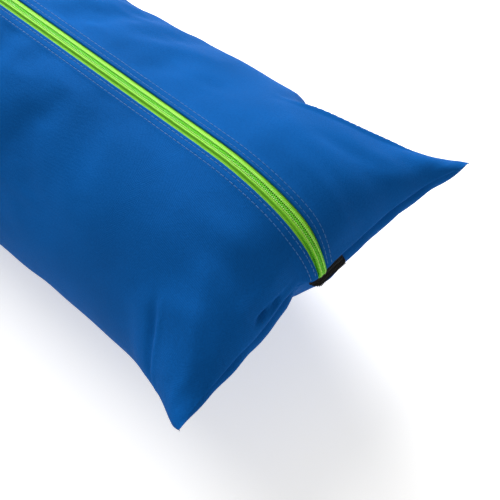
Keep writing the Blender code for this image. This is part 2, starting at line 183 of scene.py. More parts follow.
def column_grid(side, near, angles):
    """(q, low) for columns at fixed x (near), then at fixed angles, on one side."""
    a = np.abs(STATIONS)[:, None]
    w = curve_through(SIDE_S, SIDE_W, a)
    q = np.array(near, float)[None, :] / w
    t = np.radians(np.array(angles))[None, :]
    q = np.concatenate([q, np.repeat(np.sin(t), len(STATIONS), axis=0)], axis=1)
    low = np.array([False] * len(near) + [v > 90.0 for v in angles])[None, :]
    return side * q, np.repeat(low, len(STATIONS), axis=0)


def full_ring():
    """All columns clockwise from the right zipper edge to the left one."""
    qr, lr = column_grid(1.0, NEAR_EDGE, PANEL_T)
    qw, lw = column_grid(1.0, [], WALL_T)
    q0, l0 = column_grid(1.0, [], [180.0])
    qv, lv = column_grid(-1.0, [], WALL_T[::-1])
    ql, ll = column_grid(-1.0, NEAR_EDGE, PANEL_T)
    q = np.concatenate([qr, qw, q0, qv, ql[:, ::-1]], axis=1)
    low = np.concatenate([lr, lw, l0, lv, ll[:, ::-1]], axis=1)
    return q, low


Q, LOW = full_ring()
S = np.repeat(STATIONS[:, None], Q.shape[1], axis=1)
X, Y, Z = shell_points(S, Q, LOW)
N_PANEL = len(NEAR_EDGE) + len(PANEL_T)
MIDDLE = len(STATIONS) // 2
TURN = np.degrees(np.arcsin(np.clip(np.abs(Q), 0, 1)))
TURN = np.where(LOW, 180.0 - TURN, TURN)


def skin_normals(x, y, z):
    """Unit normals of the skin's grid, pointing out of the case."""
    p = np.stack([x, y, z], -1)
    dr, dc = np.gradient(p, axis=0), np.gradient(p, axis=1)
    n = np.cross(dr, dc)
    n /= np.linalg.norm(n, axis=-1, keepdims=True) + 1e-12
    return -n if n[MIDDLE, N_PANEL // 2, 2] < 0 else n


def line_hump(a, v, one, two, width):
    """A soft ridge along a line between two (station, degrees) addresses, faded at its ends."""
    k = 0.00200         # metres of skin in one degree round the case
    ax, ay, bx, by = one[0], one[1] * k, two[0], two[1] * k
    dx, dy = bx - ax, by - ay
    u = ((a - ax) * dx + (v * k - ay) * dy) / (dx * dx + dy * dy)
    away = np.hypot(a - ax - u * dx, v * k - ay - u * dy)
    return np.exp(-(away / width) ** 2) * smooth_step(u, -0.15, 0.25) * (1 - smooth_step(u, 0.75, 1.15))


def spot(a, v, at, wide):
    return np.exp(-((a - at[0]) / wide[0]) ** 2 - ((v - at[1]) / wide[1]) ** 2)


# Folds and dents of one end: (from, to, width, height), addresses as (station, degrees),
# degrees counted round from the zipper, to the right of it when positive.
END_LINES = (
    ((0.402, 42.0), (0.500, 66.0), 0.0034, 0.0026), ((0.398, 56.0), (0.500, 78.0), 0.0060, -0.0016),
    ((0.402, 50.0), (0.399, 100.0), 0.0060, -0.0026), ((0.380, 60.0), (0.381, 104.0), 0.0120, 0.0022),
    ((0.487, -90.0), (0.454, -54.0), 0.0034, -0.0021), ((0.4935, -90.0), (0.4605, -54.0), 0.0028, 0.0011),
    ((0.470, -92.0), (0.444, -58.0), 0.0110, 0.0015),
    ((0.5285, -12.5), (0.5235, -25.5), 0.0017, -0.0036), ((0.513, -8.0), (0.511, -34.0), 0.0060, 0.0008),
    ((0.452, 17.0), (0.524, 11.0), 0.0080, 0.0016), ((0.240, 8.0), (0.300, 15.0), 0.0075, 0.0007),
    ((0.290, 20.0), (0.350, 40.0), 0.0080, 0.0008), ((0.310, 12.0), (0.375, 26.0), 0.0070, -0.0006),
    ((0.330, -14.0), (0.350, -42.0), 0.0090, -0.0007), ((0.225, -30.0), (0.300, -52.0), 0.0100, 0.0006),
    ((0.430, -66.0), (0.500, -40.0), 0.0100, 0.0008), ((0.440, 30.0), (0.505, 40.0), 0.0085, -0.0012),
    ((0.470, -30.0), (0.515, -62.0), 0.0090, 0.0010))
END_SPOTS = (((0.501, -20.0), (0.021, 8.5), -0.0044), ((0.470, -18.0), (0.019, 7.0), 0.0026),
             ((0.440, -26.0), (0.030, 12.0), 0.0008),
             ((0.470, 40.0), (0.034, 12.0), -0.0012), ((0.395, -40.0), (0.040, 16.0), 0.0012),
             ((0.430, 26.0), (0.030, 10.0), 0.0010))


def place_shape():
    """Softness, seams, folds and wrinkles, all along the surface normal."""
    n = skin_normals(X, Y, Z)
    side = np.where(Q > 0, 1.0, -1.0)
    near = S < 0
    a = np.abs(S)
    t = TURN
    ax = np.abs(X)
    v = t * side
    # how freely the cloth may move: pinned at the zipper, the fold line while it opens, the seam
    free = smooth_step(ax, 0.0160, 0.045)
    hold = 1.0 - hump(t, FOLD_T, 9.0) * (1.0 - smooth_step(a, 0.30, 0.38))
    seam = 1.0 - smooth_step(a, 0.527, 0.539)
    d = np.zeros_like(a)
    # broad softness of the padding
    wave = 0.0
    for fy, ft, ph, amp in ((9.0, 1.7, 0.4, 0.9), (15.0, 2.3, 2.1, 0.6), (23.0, 3.1, 4.0, 0.40),
                            (6.0, 4.4, 1.2, 0.5), (34.0, 1.1, 5.2, 0.26), (47.0, 5.3, 0.9, 0.12)):
        wave = wave + amp * np.sin(fy * math.pi * S + ph + ft * np.radians(t) * side + 0.8 * side)
    band = smooth_step(-np.abs(a - BAND_Y), -(WEB_HALF + 0.016), -(WEB_HALF + 0.001)) \
        * smooth_step(t, 56.0, 64.0)
    d += 0.00060 * wave * (1.0 - band)
    # folds that gather towards the seam's corners
    ear = smooth_step(a, 0.400, 0.500)
    q = np.abs(Q)
    d += 0.0006 * ear * np.sin(q * 26.0 + a * 30.0 + 1.3 * side) * smooth_step(q, 0.15, 0.6) * \
        np.where(LOW, 0.6, 1.0)
    swung = np.where(near, v, -v * 0.93)       # the far end creases the other way round
    along = np.where(near, a, a + 0.006)
    for one, two, width, high in END_LINES:
        d += high * line_hump(along, swung, one, two, width)
    fold_free = np.maximum(free, smooth_step(a, 0.500, 0.515))
    d *= fold_free * hold * seam
    for at, wide, high in END_SPOTS:
        d += high * spot(along, swung, at, wide) * free
    # double cloth beside the zipper, drawn in along each row of stitches
    d += 0.0005 * (1.0 - smooth_step(ax, 0.0143, 0.0165))
    for row in ROW_X:
        d -= 0.00030 * hump(ax, row, 0.00050)
    d -= 0.0009 * (1.0 - smooth_step(ax, EDGE_X, 0.0067))
    # webbing bands pull the padding in
    press = smooth_step(-np.abs(a - BAND_Y), -(WEB_HALF + 0.010), -(WEB_HALF + 0.0002))
    d -= 0.0024 * press * smooth_step(t, 60.5, 64.3)
    x, y, z = X + n[..., 0] * d, Y + n[..., 1] * d, Z + n[..., 2] * d
    # the stuffing has moved a little to one side at each end
    way = np.where(near, 1.0, -1.0)
    out = smooth_step(t, 12.0, 62.0)
    lean = smooth_step(a, 0.230, 0.370)
    x = x + way * 0.0034 * lean * out
    right = (v * way > 0)
    fuller = 0.0106 * smooth_step(a, 0.165, 0.345) * (1.0 - 0.36 * smooth_step(a, 0.386, 0.402)) \
        * (1.0 - smooth_step(a, 0.425, 0.495))
    x = x + way * np.where(right, fuller, 0.0022 * smooth_step(a, 0.400, 0.470)
                           + 0.0024 * hump(a, 0.285, 0.045)
                           + 0.0024 * smooth_step(a, 0.505, 0.535)) * out
    # the end seam is drawn in beside the tab and runs in slow waves
    last = smooth_step(a, 0.470, 0.532)
    xs = x * way
    nip = np.where(xs > -0.021, hump(xs, -0.021, 0.0062), hump(xs, -0.021, 0.025))
    pull = -0.0068 * nip - 0.0010 * hump(xs, 0.072, 0.024) + 0.0034 * hump(xs, 0.143, 0.022) \
        - 0.0016 * hump(xs, -0.150, 0.020)
    lip = np.where(LOW, smooth_step(a, 0.482, 0.518) * (1.0 - smooth_step(a, 0.536, 0.5398)), 0.0)
    pull = pull * last + lip * (-0.0012 * hump(xs, -0.062, 0.018) - 0.0100 * hump(xs, -0.009, 0.0115)
                                - 0.0010 * hump(xs, 0.040, 0.018) + 0.0004 * np.sin(xs * 190.0))
    y = y - way * pull
    # the zipper's fabric edges draw together at the seam
    x = x * (1.0 - 0.27 * smooth_step(a, 0.492, 0.538) * (1.0 - smooth_step(ax, 0.010, 0.032)))
    z = np.maximum(z - 0.0010 * last * nip, FLOOR_GAP)
    # round corners instead of points
    level = np.sqrt(1.0 - np.minimum(q, 1.0) ** 2)
    tip = smooth_step(a, 0.524, END) * (1.0 - smooth_step(level, 0.0, 0.34))
    x = x - np.sign(x) * 0.0034 * tip
    y = y + way * 0.0042 * tip
    return x, y, z


GX, GY, GZ = place_shape()


# ---- materials ----------------------------------------------------------------------
class Shader:
    """A Principled material with short calls for its nodes."""

    def __init__(self, name, colour, rough, metal=0.0, sheen=0.0, tint=(1, 1, 1), spec=0.5):
        self.mat = bpy.data.materials.new(name)
        self.mat.use_nodes = True
        self.tree = self.mat.node_tree
        self.main = self.tree.nodes["Principled BSDF"]
        self.main.inputs["Base Color"].default_value = (*colour, 1.0)
        self.main.inputs["Roughness"].default_value = rough
        self.main.inputs["Metallic"].default_value = metal
        self.main.inputs["Sheen Weight"].default_value = sheen
        self.main.inputs["Sheen Roughness"].default_value = 0.45
        self.main.inputs["Sheen Tint"].default_value = (*tint, 1.0)
        self.main.inputs["Specular IOR Level"].default_value = spec

    def node(self, kind, **values):
        n = self.tree.nodes.new(kind)
        for key, value in values.items():
            if key in n.inputs:
                n.inputs[key].default_value = value
            else:
                setattr(n, key, value)
        return n

    def link(self, a, b):
        self.tree.links.new(a, b)

    def math(self, op, a, b=None):
        n = self.node("ShaderNodeMath", operation=op)
        for k, v in enumerate((a, b)):
            if v is None:
                continue
            if isinstance(v, (int, float)):
                n.inputs[k].default_value = v
            else:
                self.link(v, n.inputs[k])
        return n.outputs[0]

    def place(self, uv=False):
        n = self.node("ShaderNodeTexCoord")
        return n.outputs["UV" if uv else "Object"]

    def noise(self, at, scale, detail=2.0, rough=0.5):
        n = self.node("ShaderNodeTexNoise", Scale=scale, Detail=detail, Roughness=rough)
        self.link(at, n.inputs["Vector"])
        return n.outputs["Fac"]

    def ramp(self, fac, stops):
        n = self.node("ShaderNodeValToRGB")
        r = n.color_ramp
        while len(r.elements) < len(stops):
            r.elements.new(0.5)
        for e, (pos, col) in zip(r.elements, stops):
            e.position, e.color = pos, (*col, 1.0)
        self.link(fac, n.inputs["Fac"])
        return n.outputs["Color"]

    def mottle(self, fac, colour, dark, light):
        stops = ((0.3, scaled(colour, dark)), (0.7, scaled(colour, light)))
        self.link(self.ramp(fac, stops), self.main.inputs["Base Color"])

    def rough_from(self, fac, low, high):
        n = self.node("ShaderNodeMapRange", **{"To Min": low, "To Max": high})
        self.link(fac, n.inputs["Value"])
        self.link(n.outputs[0], self.main.inputs["Roughness"])

    def bump(self, height, strength, distance, after=None):
        n = self.node("ShaderNodeBump", Strength=strength, Distance=distance)
        self.link(height, n.inputs["Height"])
        if after:
            self.link(after, n.inputs["Normal"])
        return n.outputs["Normal"]


def scaled(colour, k):
    return tuple(min(1.0, c * k) for c in colour)


def woven(name, colour, pitch, rough=0.7, sheen=0.3, tint=(1, 1, 1), depth=0.0002, vary=0.06,
          grain=900.0, spec=0.35):
    """Plain weave in the piece's own UV map, which is in metres."""
    m = Shader(name, colour, rough, sheen=sheen, tint=tint, spec=spec)
    uv, ob = m.place(True), m.place()
    sep = m.node("ShaderNodeSeparateXYZ")
    m.link(uv, sep.inputs[0])
    k = math.pi / pitch
    su = m.math("SINE", m.math("MULTIPLY", sep.outputs[0], k))
    sv = m.math("SINE", m.math("MULTIPLY", sep.outputs[1], k))
    weave = m.math("MULTIPLY", su, sv)
    cloud = m.noise(ob, 14.0, 3.0)
    fine = m.noise(ob, grain, 3.0, 0.6)
    mix = m.math("ADD", m.math("MULTIPLY", cloud, 0.55), m.math("MULTIPLY", fine, 0.45))
    mix = m.math("ADD", mix, m.math("MULTIPLY", weave, 0.07))
    m.link(m.ramp(mix, ((0.30, scaled(colour, 1.0 - vary)), (0.52, colour),
                        (0.74, scaled(colour, 1.0 + vary)))), m.main.inputs["Base Color"])
    m.rough_from(fine, rough - 0.07, rough + 0.07)
    n1 = m.bump(weave, 0.22, depth)
    n2 = m.bump(fine, 0.40, depth * 1.6, n1)
    n3 = m.bump(m.noise(ob, 55.0, 2.0), 0.22, 0.0012, n2)
    m.link(n3, m.main.inputs["Normal"])
    return m.mat


def ribbed(name, colour, pitch, rough=0.6, sheen=0.15, depth=0.0004, vary=0.10, spec=0.4,
           inner=None, painted_shade_to=0.0, painted_rib_shade=0.16):
    """Webbing or tape: ribs across the run, with fine threads; UV in metres, V along the run."""
    m = Shader(name, colour, rough, sheen=sheen, spec=spec)
    uv, ob = m.place(True), m.place()
    sep = m.node("ShaderNodeSeparateXYZ")
    m.link(uv, sep.inputs[0])
    k = 2 * math.pi / pitch
    run, width = sep.outputs[1], sep.outputs[0]
    tilt = m.math("SINE", m.math("MULTIPLY", width, k * 0.5))
    ribs = m.math("SINE", m.math("ADD", m.math("MULTIPLY", run, k), m.math("MULTIPLY", tilt, 1.2)))
    rows = m.math("SINE", m.math("MULTIPLY", width, k * 0.8))
    height = m.math("ADD", ribs, m.math("MULTIPLY", rows, 0.55))
    fine = m.noise(ob, 1400.0, 2.0)
    # Colour follows the rib height: painted shade in the grooves and painted highlight on the ribs, plus
    # random fine tone from the noise.
    mix = m.math("ADD", m.math("MULTIPLY", height, painted_rib_shade), fine)
    shade = m.ramp(mix, ((0.2, scaled(colour, 1.0 - 2.5 * vary)), (0.5, colour),
                         (0.85, scaled(colour, 1.0 + 3.0 * vary))))
    # Painted shade: up to this width the tape takes the darker inner colour, standing for the chain's
    # shadow on the tape.
    if inner:
        edge = m.node("ShaderNodeMapRange", **{"From Min": painted_shade_to, "From Max": painted_shade_to + 0.0006})
        m.link(width, edge.inputs["Value"])
        both = m.node("ShaderNodeMix", data_type="RGBA")
        m.link(edge.outputs[0], both.inputs["Factor"])
        m.link(shade, both.inputs[7])
        both.inputs[6].default_value = (*inner, 1.0)     # sockets 6, 7 and 2 are the colour ones
        shade = both.outputs[2]
    m.link(shade, m.main.inputs["Base Color"])
    n1 = m.bump(height, 0.6, depth)
    m.link(m.bump(fine, 0.3, 0.0003, n1), m.main.inputs["Normal"])
    return m.mat


BLUE = (0.0034, 0.082, 0.305)
blue_cloth = woven("blue_cloth", BLUE, 0.00062, rough=0.66, sheen=0.010, tint=(0.75, 0.88, 1.0),
                   spec=0.010, vary=0.20, grain=780.0, depth=0.0003)
lining_cloth = woven("lining_cloth", (0.020, 0.022, 0.027), 0.0004, rough=0.6, sheen=0.2)
# The darker inner colour near the chain is painted shade of the chain on the tape.
green_tape = ribbed("green_tape", (0.280, 0.730, 0.024), 0.0011, rough=0.62, sheen=0.12,
                    depth=0.00018, vary=0.06, inner=(0.085, 0.520, 0.005), painted_shade_to=0.0040)
green_cord = ribbed("green_cord", (0.270, 0.720, 0.022), 0.0008, rough=0.55, sheen=0.10,
                    depth=0.00012, vary=0.05)
green_thread = ribbed("green_thread", (0.480, 0.860, 0.150), 0.0006, rough=0.6, depth=0.0001,
                      vary=0.04)
blue_thread = ribbed("blue_thread", (0.022, 0.155, 0.440), 0.0007, rough=0.5, depth=0.0001,
                     vary=0.08)
black_web = ribbed("black_web", (0.014, 0.0135, 0.0145), 0.0022, rough=0.62, sheen=0.1,
                   depth=0.0005)
# Strong painted rib shade and highlight, so the ribs of the end tab show.
black_ribbon = ribbed("black_ribbon", (0.0085, 0.0078, 0.0078), RIB_PITCH, rough=0.55,
                      sheen=0.0, depth=0.0005, vary=0.38, spec=0.12, painted_rib_shade=0.34)
black_thread = ribbed("black_thread", (0.03, 0.03, 0.032), 0.0007, rough=0.45, depth=0.0001)
wrap_cloth = woven("wrap_cloth", (0.022, 0.022, 0.024), 0.0007, rough=0.75, sheen=0.35,
                   vary=0.12)


def nylon(name, colour):
    m = Shader(name, colour, 0.32, spec=0.5)
    ob = m.place()
    fine = m.noise(ob, 500.0, 2.0)
    m.mottle(fine, colour, 0.88, 1.08)
    m.link(m.bump(fine, 0.12, 0.0002), m.main.inputs["Normal"])
    return m.mat


def cast_metal(name, colour):
    m = Shader(name, colour, 0.34, metal=1.0)
    ob = m.place()
    fine, broad = m.noise(ob, 900.0, 3.0), m.noise(ob, 120.0, 2.0)
    m.mottle(broad, colour, 0.86, 1.06)
    m.rough_from(fine, 0.26, 0.44)
    m.link(m.bump(fine, 0.10, 0.00015), m.main.inputs["Normal"])
    return m.mat


green_coil = nylon("green_coil", (0.150, 0.660, 0.010))
slider_metal = cast_metal("slider_metal", (0.56, 0.57, 0.59))


# ---- building cloth sheets from the grid ---------------------------------------------
def grid_object(name, x, y, z, u, v, closed=False):
    """A grid (or a ring-shaped grid) primitive moved to the given points; UV map in metres."""
    rows, cols = x.shape
    clear_selection()
    if closed:
        bpy.ops.mesh.primitive_torus_add(major_segments=rows, minor_segments=cols,
                                         major_radius=1.0, minor_radius=0.25)
    else:
        bpy.ops.mesh.primitive_grid_add(x_subdivisions=cols - 1, y_subdivisions=rows - 1, size=1.0)
    ob = named(name)
    me = ob.data
    me.vertices.foreach_set("co", np.stack([x, y, z], -1).reshape(-1).astype(np.float32))
    me.update()
    layer = me.uv_layers.active or me.uv_layers.new(name="UVMap")
    loop_v = np.zeros(len(me.loops), np.int32)
    me.loops.foreach_get("vertex_index", loop_v)
    uv = np.stack([u.reshape(-1)[loop_v], v.reshape(-1)[loop_v]], -1)
    layer.data.foreach_set("uv", uv.reshape(-1).astype(np.float32))
    return ob


def turn_over(ob, outward=False):
    """Swap the front and back of every face, or make every face look outward."""
    only(ob)
    bpy.ops.object.mode_set(mode="EDIT")
    bpy.ops.mesh.select_all(action="SELECT")
    if outward:
        bpy.ops.mesh.normals_make_consistent(inside=False)
    else:
        bpy.ops.mesh.flip_normals()
    bpy.ops.object.mode_set(mode="OBJECT")


def sheet_piece(name, x, y, z, u, v, mats, thick=None, factor=None, flip=False, normals=None):
    """A sheet through the given points, given its thickness behind it."""
    ob = grid_object(name, x, y, z, u, v)
    me = ob.data
    if flip:
        turn_over(ob)
    for m in mats:
        me.materials.append(m)
    outer = len(me.polygons)
    if thick:
        if factor is not None:
            group = ob.vertex_groups.new(name="thickness")
            f = factor.reshape(-1)
            for i in range(len(f)):
                group.add([i], float(f[i]), "REPLACE")
        mod = ob.modifiers.new("wall", "SOLIDIFY")
        mod.thickness = thick
        mod.offset = -1.0
        mod.use_even_offset = False
        if factor is not None:
            mod.vertex_group = "thickness"
        mod.material_offset = len(mats) - 1
        mod.material_offset_rim = 0
        bpy.ops.object.modifier_apply(modifier="wall")
        ob.vertex_groups.clear()
    bpy.ops.object.shade_smooth_by_angle(angle=math.radians(50.0))
    if normals is not None:
        flat = normals.reshape(-1, 3)
        table = np.zeros((len(me.loops), 3), np.float32)
        loop_v = np.zeros(len(me.loops), np.int32)
        me.loops.foreach_get("vertex_index", loop_v)
        count = int(np.sum([p.loop_total for p in me.polygons[:outer]]))
        table[:count] = flat[loop_v[:count]]
        me.normals_split_custom_set(table.tolist())
    return ob


def arc_lengths(x, y, z, axis):
    p = np.stack([x, y, z], -1)
    step = np.linalg.norm(np.diff(p, axis=axis), axis=-1)
    first = np.zeros_like(step[:1] if axis == 0 else step[:, :1])
    return np.cumsum(np.concatenate([first, step], axis=axis), axis=axis)


def blurred(field, rounds):
    """The field with its fine detail averaged away."""
    f = field.copy()
    for _ in range(rounds):
        f[1:-1] = 0.25 * f[:-2] + 0.5 * f[1:-1] + 0.25 * f[2:]
        f[:, 1:-1] = 0.25 * f[:, :-2] + 0.5 * f[:, 1:-1] + 0.25 * f[:, 2:]
    return f


def pressed_cloth(x, y, z):
    """The shell as cloth held at its seams, with air pressed into it: puckers along the normal."""
    normal = skin_normals(x, y, z)
    rows = np.append(np.arange(0, len(STATIONS) - 1, 2), len(STATIONS) - 1)
    cols = np.append(np.arange(0, Q.shape[1] - 1, 2), Q.shape[1] - 1)
    cut = np.ix_(rows, cols)
    a, ax = np.abs(S), np.abs(x)
    near_band = 1.0 - smooth_step(np.abs(a - BAND_Y), WEB_HALF, WEB_HALF + 0.014)
    held = np.maximum.reduce([
        1.0 - smooth_step(np.where(LOW, 1.0, ax), 0.0150, 0.0190), smooth_step(a, 0.530, 0.536),
        near_band * smooth_step(TURN, 57.0, 62.0),
        hump(TURN, FOLD_T, 3.0) * (1.0 - smooth_step(a, 0.30, 0.38)),
        np.where(LOW, 1.0 - smooth_step(z, 0.0015, 0.0080), 0.0)])
    sheet = grid_object("pressed_cloth", x[cut], y[cut], z[cut], S[cut], TURN[cut])
    middle = sheet.data.polygons[(len(rows) // 2) * (len(cols) - 1) + len(cols) // 8]
    if middle.normal.z < 0:
        turn_over(sheet)
    group = sheet.vertex_groups.new(name="held")
    for i, weight in enumerate(held[cut].reshape(-1)):
        group.add([i], float(weight), "REPLACE")
    cloth = sheet.modifiers.new("cloth", "CLOTH")
    cloth.settings.vertex_group_mass = "held"
    cloth.settings.quality = 6
    cloth.settings.mass = 0.25
    cloth.settings.tension_stiffness = 12.0
    cloth.settings.compression_stiffness = 12.0
    cloth.settings.bending_stiffness = 0.08
    cloth.settings.shrink_min = -0.022
    cloth.settings.use_pressure = True
    cloth.settings.uniform_pressure_force = 4.0
    cloth.settings.effector_weights.gravity = 0.0
    cloth.collision_settings.use_collision = False
    cloth.point_cache.frame_start, cloth.point_cache.frame_end = 1, SOFT_FRAMES
    for number in range(1, SOFT_FRAMES + 1):
        scene.frame_set(number)
    view = sheet.evaluated_get(bpy.context.evaluated_depsgraph_get())
    after = np.zeros(len(view.data.vertices) * 3)
    view.data.vertices.foreach_get("co", after)
    after = after.reshape(len(rows), len(cols), 3)
    before = np.stack([x[cut], y[cut], z[cut]], -1)
    moved = np.sum((after - before) * normal[cut], axis=-1)
    bpy.data.objects.remove(sheet, do_unlink=True)
    scene.frame_set(1)
    pucker = moved - blurred(moved, SOFT_BLUR)
    every_row = np.stack([np.interp(np.arange(len(STATIONS)), rows, pucker[:, k])
                          for k in range(len(cols))], -1)
    every = np.stack([np.interp(np.arange(Q.shape[1]), cols, every_row[k])
                      for k in range(len(STATIONS))], 0)
    every = np.clip(blurred(every, 2), -SOFT_CAP, SOFT_CAP) * (1.0 - held)
    every *= 1.0 - 0.85 * smooth_step(a, 0.26, 0.40)
    return x + normal[..., 0] * every, y + normal[..., 1] * every, z + normal[..., 2] * every


GX, GY, GZ = pressed_cloth(GX, GY, GZ)
GZ = np.maximum(GZ, FLOOR_GAP)

RIGHT = slice(0, N_PANEL)
LEFT = slice(Q.shape[1] - N_PANEL, Q.shape[1])
BELLY = slice(N_PANEL - 1, Q.shape[1] - N_PANEL + 1)
AROUND = arc_lengths(GX, GY, GZ, 1)


def thickness_of(cols):
    a, t, ax = np.abs(S[:, cols]), TURN[:, cols], np.abs(X[:, cols])
    f = 0.12 + 0.88 * (1.0 - hump(t, FOLD_T, 11.0))
    f = np.minimum(f, 0.11 + 0.89 * smooth_step(ax, 0.0165, 0.030))
    f = np.minimum(f, 0.10 + 0.90 * (1.0 - smooth_step(a, 0.400, 0.495)))
    corner = smooth_step(a, 0.505, 0.530) * smooth_step(np.abs(Q[:, cols]), 0.70, 0.95)
    return f * (1.0 - 0.85 * np.maximum(corner, smooth_step(a, 0.528, END)))


SKIN_NORMAL = skin_normals(GX, GY, GZ)


def cloth_part(name, rows, cols, mats):
    return sheet_piece(name, GX[rows, cols], GY[rows, cols], GZ[rows, cols],
                       AROUND[rows, cols], S[rows, cols], mats, WALL, thickness_of(cols)[rows],
                       normals=SKIN_NORMAL[rows, cols])


def bend_open(piece):
    """Bakes the piece's placement into its mesh."""
    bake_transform(piece)
    return piece


HALVES = {"near": slice(0, MIDDLE + 1), "far": slice(MIDDLE, len(STATIONS))}
SIDES = {"right": (RIGHT, 1.0), "left": (LEFT, -1.0)}

wall = cloth_part("case_wall", slice(0, len(STATIONS)), BELLY, [blue_cloth, lining_cloth])
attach(wall, "case")
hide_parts("outer_shell", "foam_shell", "lining_shell")

for where, rows in HALVES.items():
    for side, (cols, sign) in SIDES.items():
        panel = cloth_part("top_panel_%s_%s" % (where, side), rows, cols,
                           [blue_cloth, lining_cloth])
        bend_open(panel)
        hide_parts("outer_flap_" + side, "foam_flap_" + side, "lining_flap_" + side)


# ---- things laid along the zipper ------------------------------------------------------
TOP_FINE = np.linspace(-END, END, 4001)
TOP_PATH = np.stack([np.sign(TOP_FINE) * curve_through(TOP_S, TOP_Y, np.abs(TOP_FINE)),
                     curve_through(TOP_S, TOP_H, np.abs(TOP_FINE))], -1)
TOP_RUN = runs_of(TOP_PATH)
TOP_RUN -= TOP_RUN[-1] / 2.0
ZIP_END = TOP_RUN[-1] - 0.0015      # the chain stops under the end tab


def over_top(run):
    """(y, z, tangent y, tangent z) on the ridge line at these distances from the middle."""
    e = 0.002
    place = columns_at(run, TOP_RUN, TOP_PATH)
    ahead = unit(columns_at(run + e, TOP_RUN, TOP_PATH) - columns_at(run - e, TOP_RUN, TOP_PATH))
    return place[:, 0], place[:, 1], ahead[:, 0], ahead[:, 1]


def crown(x):
    """How far the stuffed top falls away at this distance from the zipper."""
    return SEMI_Z * (1.0 - np.sqrt(np.clip(1.0 - (x / HALF_W) ** 2, 0.0, 1.0)))


def slider_spread(y):
    return 0.0010 * (1.0 - smooth_step(np.abs(y), 0.0235, 0.0290))


def repeat_piece(name, template, places, mats):
    """One object of many copies of a small template; places is (n, 3, 4) frames."""
    tv = np.array([v.co for v in template.data.vertices], float)
    faces = [tuple(p.vertices) for p in template.data.polygons]
    rot, pos = places[:, :, :3], places[:, :, 3]
    co = np.einsum("nij,vj->nvi", rot, tv) + pos[:, None, :]
    n, m = len(places), len(tv)
    me = bpy.data.meshes.new(name)
    me.from_pydata(co.reshape(-1, 3).tolist(), [],
                   [tuple(i + k * m for i in f) for k in range(n) for f in faces])
    for mat in mats:
        me.materials.append(mat)
    for p in me.polygons:
        p.use_smooth = True
    layer = me.uv_layers.new(name="UVMap")
    lv = np.zeros(len(me.loops), np.int32)
    me.loops.foreach_get("vertex_index", lv)
    flat = np.tile(tv[:, [1, 0]], (n, 1))
    layer.data.foreach_set("uv", flat[lv].reshape(-1).astype(np.float32))
    ob = bpy.data.objects.new(name, me)
    scene.collection.objects.link(ob)
    return ob


def capsule(name, length, width, height, sides=8):
    """A short rounded bar along X: a cylinder with its rims drawn in."""
    clear_selection()
    bpy.ops.mesh.primitive_cylinder_add(vertices=sides, radius=0.5, depth=1.0,
                                        rotation=(0, math.pi / 2, 0))
    ob = named(name)
    bpy.ops.object.transform_apply(location=True, rotation=True, scale=True)
    bpy.ops.object.mode_set(mode="EDIT")
    bpy.ops.mesh.select_all(action="DESELECT")
    bm = bmesh.from_edit_mesh(ob.data)
    for f in bm.faces:
        f.select = abs(f.normal.x) > 0.9
    bmesh.update_edit_mesh(ob.data)
    bpy.ops.mesh.inset(thickness=0.16, depth=0.0)
    bpy.ops.object.mode_set(mode="OBJECT")
    r = width * 0.5
    for v in ob.data.vertices:
        radial = math.hypot(v.co.y, v.co.z)
        inner = radial < 0.45
        v.co.x = math.copysign(length * 0.5 if inner else length * 0.5 - r * 0.75, v.co.x)
        v.co.y *= width
        v.co.z *= height
    ob.data.update()
    return ob


def frames_of(x_axis, y_axis, z_axis, pos):
    return np.stack([x_axis, y_axis, z_axis, pos], -1)


def frames_on_top(run, x, lift):
    """Frames along the zipper: local X across, local Y along the run, local Z up."""
    y, z, ty, tz = over_top(run)
    x = np.broadcast_to(x, run.shape).astype(float)
    h = lift - crown(x)
    slope = np.arctan2(x, HALF_W * 1.05)
    across = np.stack([np.cos(slope), 0 * x, -np.sin(slope)], -1)
    along = np.stack([0 * x, ty, tz], -1)
    up = unit(np.cross(across, along))
    return frames_of(np.cross(along, up), along, up, np.stack([x, y - tz * h, z + ty * h], -1))


tooth = capsule("tooth", 0.0042, 0.00112, 0.0019)
loop_thread = capsule("loop_thread", 0.00150, 0.00062, 0.00055, 6)
stitch = capsule("stitch", 0.0031, 0.00062, 0.00050, 6)
TURN_90 = np.array([[0.0, -1.0, 0.0], [1.0, 0.0, 0.0], [0.0, 0.0, 1.0]])


def turned(frames):
    """The same frames with the template lying along the run."""
    out = frames.copy()
    out[:, :, :3] = frames[:, :, :3] @ TURN_90
    return out


TAPE_X = (0.0012, 0.0038, 0.0057, 0.0067, 0.0110, 0.0160)
TAPE_H = (-0.00085, -0.00085, -0.00085, -0.00155, -0.00155, -0.00155)
CORD_X = (0.00205, 0.00220, 0.00255, 0.00300, 0.00345, 0.00375, 0.00390)
CORD_H = (0.00060, 0.00102, 0.00128, 0.00130, 0.00096, 0.00025, -0.00080)


def zip_sheet(name, side, where, xs, hs, mat, thick, upto):
    """A strip of tape or a covered cord along one side of the chain."""
    sign = 1.0 if where == "far" else -1.0
    run = np.linspace(0.0, ZIP_END + upto, 190)
    y, z, ty, tz = over_top(sign * run)
    x = np.repeat(np.array(xs)[None, :], len(run), 0)
    near_end = 1.0 - 0.27 * smooth_step(np.abs(y), 0.488, 0.512)
    x = x * near_end[:, None]
    x = x + slider_spread(y)[:, None] * (1.0 - smooth_step(x, 0.0040, 0.0062))
    h = np.array(hs)[None, :] - crown(x)
    return sheet_piece(name, side * x, y[:, None] - tz[:, None] * h, z[:, None] + ty[:, None] * h,
                       x, np.repeat(run[:, None], len(xs), 1), [mat], thick, flip=side * sign < 0)


